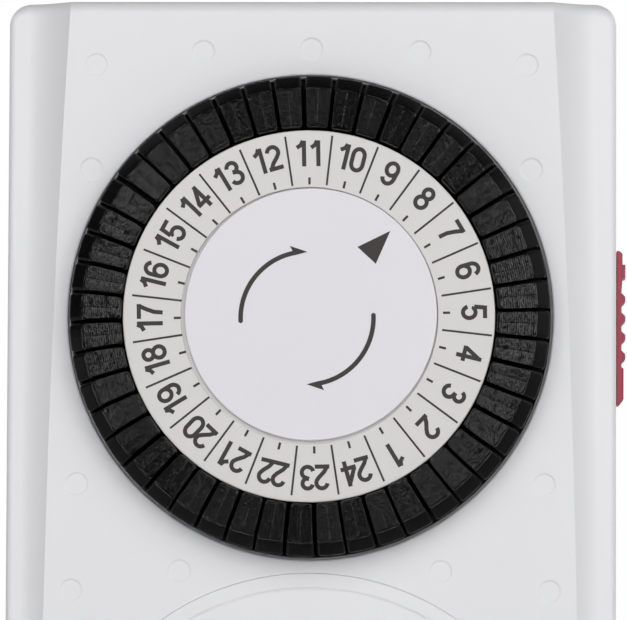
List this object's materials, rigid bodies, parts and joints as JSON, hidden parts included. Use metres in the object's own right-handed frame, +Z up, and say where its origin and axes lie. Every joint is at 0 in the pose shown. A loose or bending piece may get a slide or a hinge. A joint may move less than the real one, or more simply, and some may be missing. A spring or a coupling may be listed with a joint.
{
  "type": "plug in timer switch",
  "caption": "Wall-plug timer: white housing with round plug and socket, turning dial with push-in tappets, number ring, centre disc with pointer, and red side slider.",
  "frame": {"origin": "midway between the two plug pins, in the plane of the plug's face that meets the wall socket", "axes": "+Y along the pins into the wall, +Z up, +X to the right as seen from the front, which faces -Y"},
  "size_m": [0.0699, 0.0785, 0.1266],
  "materials": {
    "housing_white": "satin",
    "dial_white": "satin",
    "disc_white": "satin",
    "tappet_black": "satin",
    "slider_red": "satin",
    "pin_nickel": "polished",
    "strip_brass": "satin",
    "bronze": "satin",
    "steel": "satin",
    "spring_steel": "satin",
    "phenolic": "matte",
    "nylon": "satin",
    "plate_resin": "satin",
    "copper_wire": "satin",
    "lamination": "satin",
    "ferrite": "matte"
  },
  "bodies": {
    "housing": {"front_cover": "housing_white", "rear_cover": "housing_white", "plug_body": "housing_white", "cover_screws": "steel", "socket_insert": "housing_white", "centre_disc": "disc_white", "plug_pins": "pin_nickel", "earth_strap": "strip_brass", "live_bar": "strip_brass", "neutral_bar": "strip_brass", "switched_bar": "strip_brass", "socket_contacts": "bronze", "contact_tray": "phenolic", "shutter_spring": "spring_steel", "switch_base": "phenolic", "feeler_pin": "steel", "feeler_spring": "spring_steel", "back_plate": "plate_resin", "front_plate": "plate_resin", "plate_screws": "steel", "stator_core": "lamination", "coil_bobbin": "nylon", "coil_winding": "copper_wire"},
    "dial": {"dial_wheel": "dial_white", "number_ring": "dial_white"},
    "output": {"output_wheel": "nylon"},
    "clutch": {"clutch_arbor": "steel", "clutch_spring": "spring_steel"},
    "clutch_gear": {"clutch_wheel": "nylon"},
    "third": {"third_wheel": "nylon"},
    "rotor": {"rotor_magnet": "ferrite", "rotor_pinion": "steel"},
    "feeler": {"feeler_lever": "nylon"},
    "blade": {"moving_blade": "bronze"},
    "override": {"override_slider": "slider_red"},
    "shutter": {"safety_shutter": "housing_white"},
    "tappets_01": {"tappets_01": "tappet_black"},
    "tappets_02": {"tappets_02": "tappet_black"},
    "tappets_03": {"tappets_03": "tappet_black"},
    "tappets_04": {"tappets_04": "tappet_black"},
    "tappets_05": {"tappets_05": "tappet_black"},
    "tappets_06": {"tappets_06": "tappet_black"},
    "tappets_07": {"tappets_07": "tappet_black"},
    "tappets_08": {"tappets_08": "tappet_black"},
    "tappets_09": {"tappets_09": "tappet_black"},
    "tappets_10": {"tappets_10": "tappet_black"},
    "tappets_11": {"tappets_11": "tappet_black"},
    "tappets_12": {"tappets_12": "tappet_black"},
    "tappets_13": {"tappets_13": "tappet_black"},
    "tappets_14": {"tappets_14": "tappet_black"},
    "tappets_15": {"tappets_15": "tappet_black"},
    "tappets_16": {"tappets_16": "tappet_black"},
    "tappets_17": {"tappets_17": "tappet_black"},
    "tappets_18": {"tappets_18": "tappet_black"},
    "tappets_19": {"tappets_19": "tappet_black"},
    "tappets_20": {"tappets_20": "tappet_black"},
    "tappets_21": {"tappets_21": "tappet_black"},
    "tappets_22": {"tappets_22": "tappet_black"},
    "tappets_23": {"tappets_23": "tappet_black"},
    "tappets_24": {"tappets_24": "tappet_black"}
  },
  "joints": [
    {"name": "dial_turn", "type": "hinge", "parent": "housing", "child": "dial", "pos_m": [0, -0.05, 0.0578], "axis": [0, 1, 0], "continuous": true},
    {"name": "output_turn", "type": "hinge", "parent": "housing", "child": "output", "pos_m": [-0.01114, -0.037, 0.06894], "axis": [0, 1, 0], "continuous": true},
    {"name": "clutch_turn", "type": "hinge", "parent": "housing", "child": "clutch", "pos_m": [-0.01524, -0.03, 0.05766], "axis": [0, 1, 0], "continuous": true},
    {"name": "rotor_turn", "type": "hinge", "parent": "housing", "child": "rotor", "pos_m": [0.00151, -0.032, 0.04994], "axis": [0, 1, 0], "continuous": true},
    {"name": "third_turn", "type": "hinge", "parent": "housing", "child": "third", "pos_m": [-0.00944, -0.025, 0.04761], "axis": [0, 1, 0], "continuous": true},
    {"name": "clutch_gear_turn", "type": "hinge", "parent": "housing", "child": "clutch_gear", "pos_m": [-0.01524, -0.029, 0.05766], "axis": [0, 1, 0], "continuous": true},
    {"name": "override_slide", "type": "slide", "parent": "housing", "child": "override", "axis": [0, 0, 1], "range_m": [-0.004, 0]},
    {"name": "feeler_tilt", "type": "hinge", "parent": "housing", "child": "feeler", "pos_m": [0.0288, -0.041, 0.0438], "axis": [1, 0, 0], "range_deg": [0, 8.6]},
    {"name": "blade_tilt", "type": "hinge", "parent": "housing", "child": "blade", "pos_m": [0.0288, -0.0372, 0.0401], "axis": [1, 0, 0], "range_deg": [0, 6.1]},
    {"name": "shutter_turn", "type": "hinge", "parent": "housing", "child": "shutter", "pos_m": [0, -0.0348, 0], "axis": [0, 1, 0], "range_deg": [0, 45], "stiffness_Nm_per_rad": 0.001, "springref_deg": -17.19},
    {"name": "tappets_01_push", "type": "slide", "parent": "dial", "child": "tappets_01", "axis": [0, 1, 0], "range_m": [0, 0.0022]},
    {"name": "tappets_02_push", "type": "slide", "parent": "dial", "child": "tappets_02", "axis": [0, 1, 0], "range_m": [0, 0.0022]},
    {"name": "tappets_03_push", "type": "slide", "parent": "dial", "child": "tappets_03", "axis": [0, 1, 0], "range_m": [0, 0.0022]},
    {"name": "tappets_04_push", "type": "slide", "parent": "dial", "child": "tappets_04", "axis": [0, 1, 0], "range_m": [0, 0.0022]},
    {"name": "tappets_05_push", "type": "slide", "parent": "dial", "child": "tappets_05", "axis": [0, 1, 0], "range_m": [0, 0.0022]},
    {"name": "tappets_06_push", "type": "slide", "parent": "dial", "child": "tappets_06", "axis": [0, 1, 0], "range_m": [0, 0.0022]},
    {"name": "tappets_07_push", "type": "slide", "parent": "dial", "child": "tappets_07", "axis": [0, 1, 0], "range_m": [0, 0.0022]},
    {"name": "tappets_08_push", "type": "slide", "parent": "dial", "child": "tappets_08", "axis": [0, 1, 0], "range_m": [0, 0.0022]},
    {"name": "tappets_09_push", "type": "slide", "parent": "dial", "child": "tappets_09", "axis": [0, 1, 0], "range_m": [0, 0.0022]},
    {"name": "tappets_10_push", "type": "slide", "parent": "dial", "child": "tappets_10", "axis": [0, 1, 0], "range_m": [0, 0.0022]},
    {"name": "tappets_11_push", "type": "slide", "parent": "dial", "child": "tappets_11", "axis": [0, 1, 0], "range_m": [0, 0.0022]},
    {"name": "tappets_12_push", "type": "slide", "parent": "dial", "child": "tappets_12", "axis": [0, 1, 0], "range_m": [0, 0.0022]},
    {"name": "tappets_13_push", "type": "slide", "parent": "dial", "child": "tappets_13", "axis": [0, 1, 0], "range_m": [0, 0.0022]},
    {"name": "tappets_14_push", "type": "slide", "parent": "dial", "child": "tappets_14", "axis": [0, 1, 0], "range_m": [0, 0.0022]},
    {"name": "tappets_15_push", "type": "slide", "parent": "dial", "child": "tappets_15", "axis": [0, 1, 0], "range_m": [0, 0.0022]},
    {"name": "tappets_16_push", "type": "slide", "parent": "dial", "child": "tappets_16", "axis": [0, 1, 0], "range_m": [0, 0.0022]},
    {"name": "tappets_17_push", "type": "slide", "parent": "dial", "child": "tappets_17", "axis": [0, 1, 0], "range_m": [0, 0.0022]},
    {"name": "tappets_18_push", "type": "slide", "parent": "dial", "child": "tappets_18", "axis": [0, 1, 0], "range_m": [0, 0.0022]},
    {"name": "tappets_19_push", "type": "slide", "parent": "dial", "child": "tappets_19", "axis": [0, 1, 0], "range_m": [0, 0.0022]},
    {"name": "tappets_20_push", "type": "slide", "parent": "dial", "child": "tappets_20", "axis": [0, 1, 0], "range_m": [0, 0.0022]},
    {"name": "tappets_21_push", "type": "slide", "parent": "dial", "child": "tappets_21", "axis": [0, 1, 0], "range_m": [0, 0.0022]},
    {"name": "tappets_22_push", "type": "slide", "parent": "dial", "child": "tappets_22", "axis": [0, 1, 0], "range_m": [0, 0.0022]},
    {"name": "tappets_23_push", "type": "slide", "parent": "dial", "child": "tappets_23", "axis": [0, 1, 0], "range_m": [0, 0.0022]},
    {"name": "tappets_24_push", "type": "slide", "parent": "dial", "child": "tappets_24", "axis": [0, 1, 0], "range_m": [0, 0.0022]}
  ],
  "couplings": [
    {"joint": "output_turn", "follows": "dial_turn", "ratio": 8},
    {"joint": "clutch_turn", "follows": "dial_turn", "ratio": -40},
    {"joint": "third_turn", "follows": "rotor_turn", "ratio": -0.16667},
    {"joint": "clutch_gear_turn", "follows": "rotor_turn", "ratio": 0.026667},
    {"joint": "feeler_tilt", "follows": "override_slide", "rad_per_m": -37.15},
    {"joint": "blade_tilt", "follows": "override_slide", "rad_per_m": -26.25}
  ]
}
